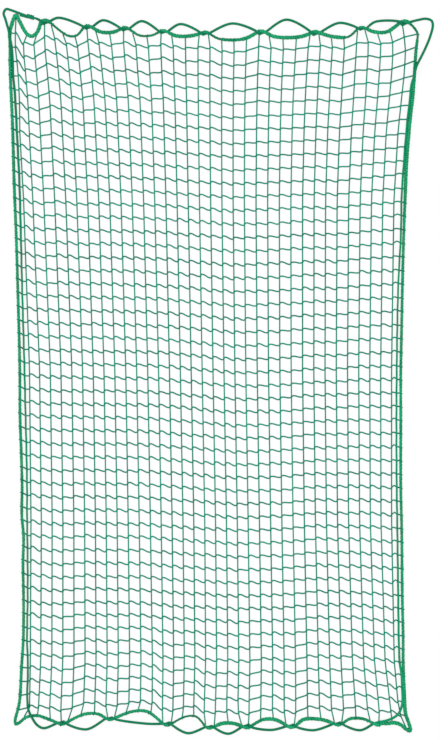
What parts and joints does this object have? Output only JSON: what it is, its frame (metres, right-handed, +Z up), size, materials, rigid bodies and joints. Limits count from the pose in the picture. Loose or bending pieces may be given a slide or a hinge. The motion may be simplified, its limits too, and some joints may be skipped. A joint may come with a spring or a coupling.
{
  "type": "cargo net",
  "caption": "Flat square-mesh cargo net of knotless twine, its edge whipped to a border rope, with one elastic cord laced round the border for stretching it over a load.",
  "frame": {"origin": "under the middle of the whole net, on the surface that it lies on", "axes": "+X across the net, +Y along it towards the edge with the knot, +Z up off the surface"},
  "size_m": [1.469, 2.4758, 0.0173],
  "materials": {
    "twine": "matte braided twine",
    "border": "matte rope whipped with thread",
    "elastic": "matte braided sleeve"
  },
  "bodies": {
    "root": {"mesh_panel": "twine", "border_rope": "border", "elastic_cord": "elastic", "elastic_knot": "elastic"}
  },
  "joints": []
}
